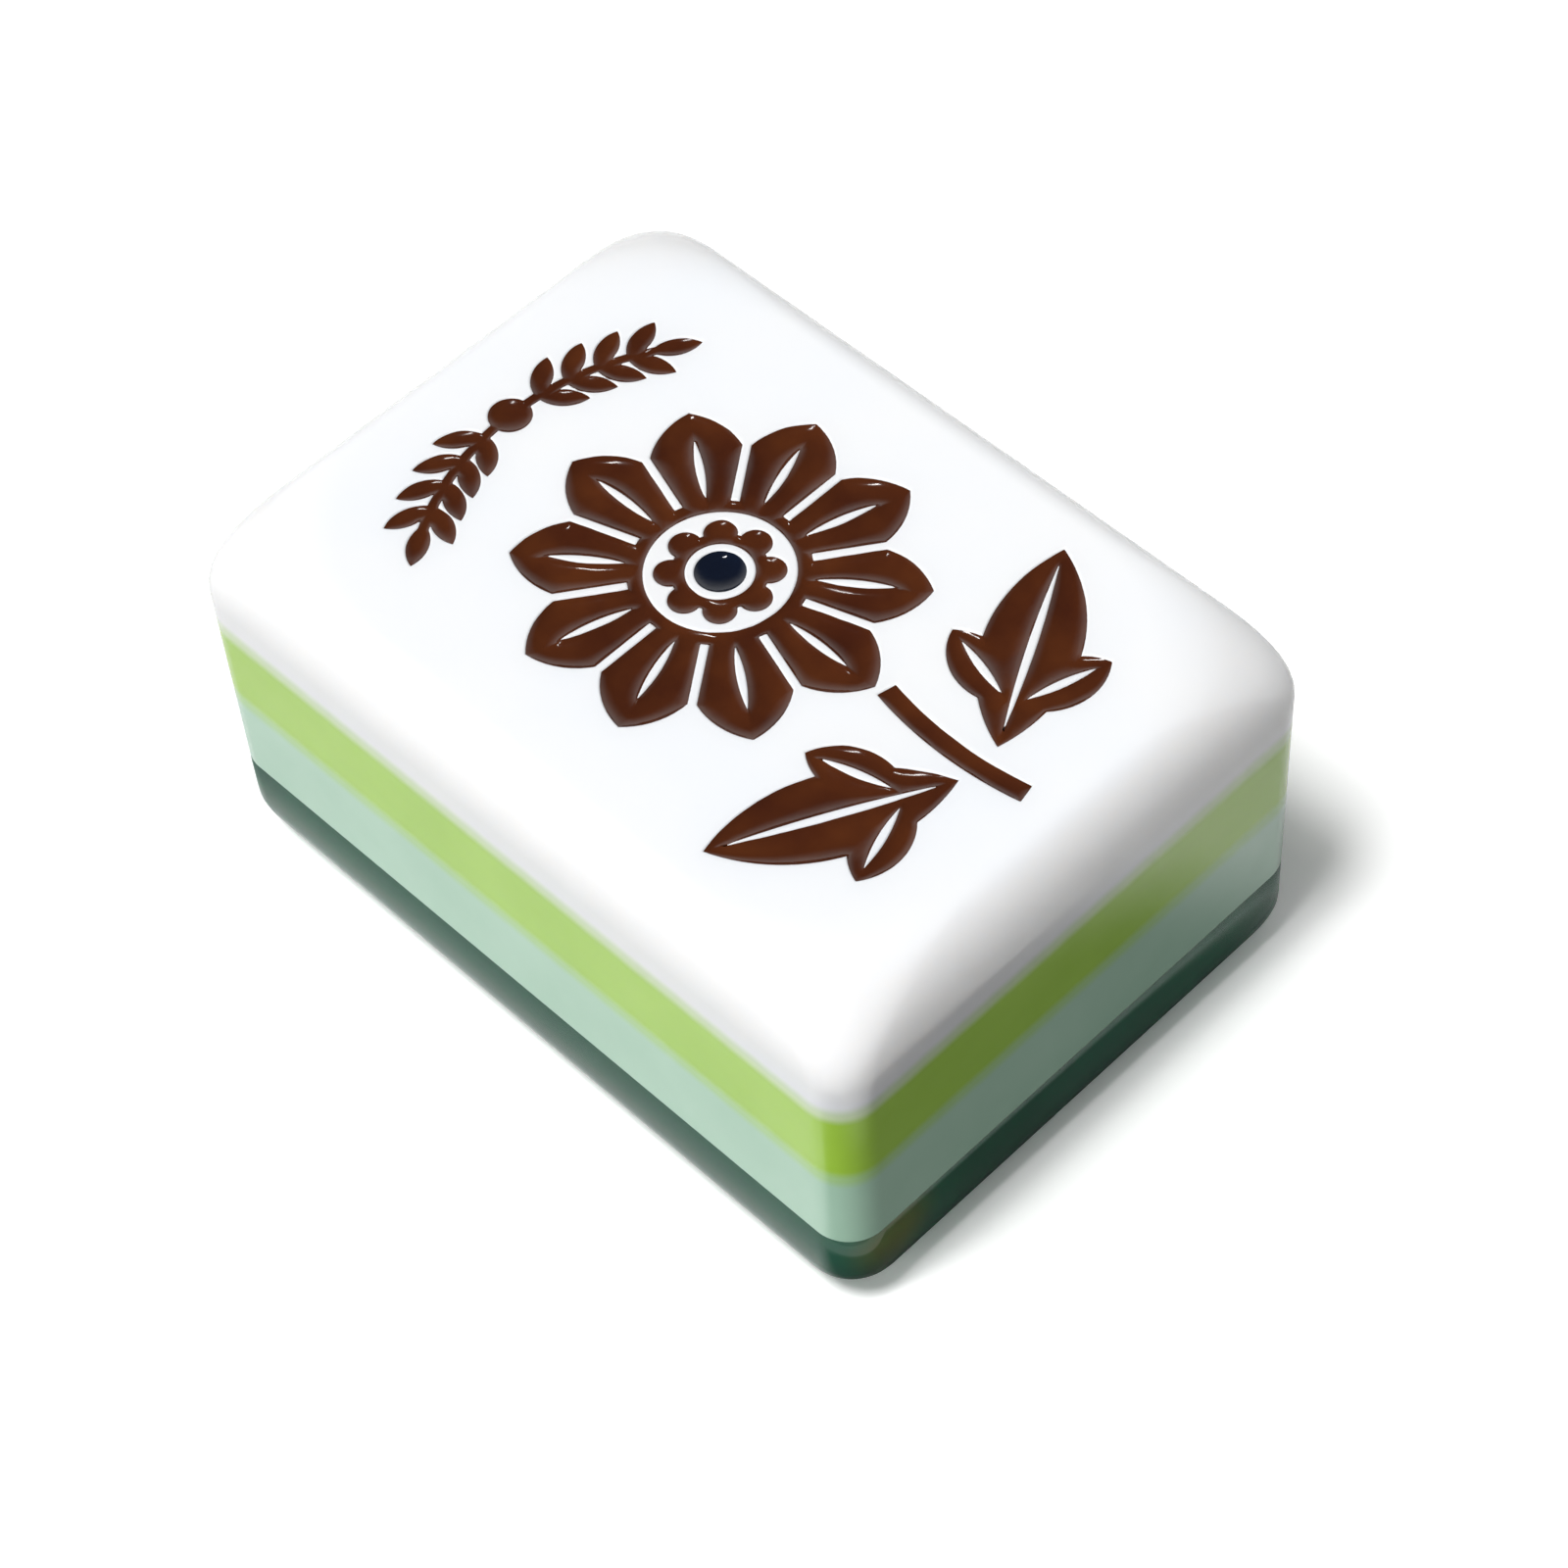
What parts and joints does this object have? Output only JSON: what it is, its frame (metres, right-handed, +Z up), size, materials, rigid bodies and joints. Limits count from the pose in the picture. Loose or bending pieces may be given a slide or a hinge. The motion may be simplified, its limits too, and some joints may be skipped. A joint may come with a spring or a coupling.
{
  "type": "mahjong tile",
  "caption": "Rounded game tile of bonded white, lime, mint and clear green layers, with a flower carved into its face and filled with brown enamel.",
  "frame": {"origin": "middle of the flat underside, in the plane that the tile lies on", "axes": "+Z up out of the carved face, +Y along the tile's length towards the head of the design, +X to the right of the design"},
  "size_m": [0.0216, 0.03, 0.0154],
  "materials": {
    "clear_green": "clear dark green, polished",
    "mint": "slightly translucent, polished",
    "lime": "slightly translucent, polished",
    "white": "opaque, polished",
    "brown_enamel": "glossy enamel filled into the carving",
    "navy_enamel": "glossy enamel filled into the carving"
  },
  "bodies": {
    "root": {"base_slab": "clear_green", "mint_slab": "mint", "lime_slab": "lime", "face_slab": "white", "petal_enamel": "brown_enamel", "rosette_enamel": "brown_enamel", "heart_enamel": "navy_enamel", "stem_enamel": "brown_enamel", "leaf_left_enamel": "brown_enamel", "leaf_right_enamel": "brown_enamel", "garland_enamel": "brown_enamel"}
  },
  "joints": []
}
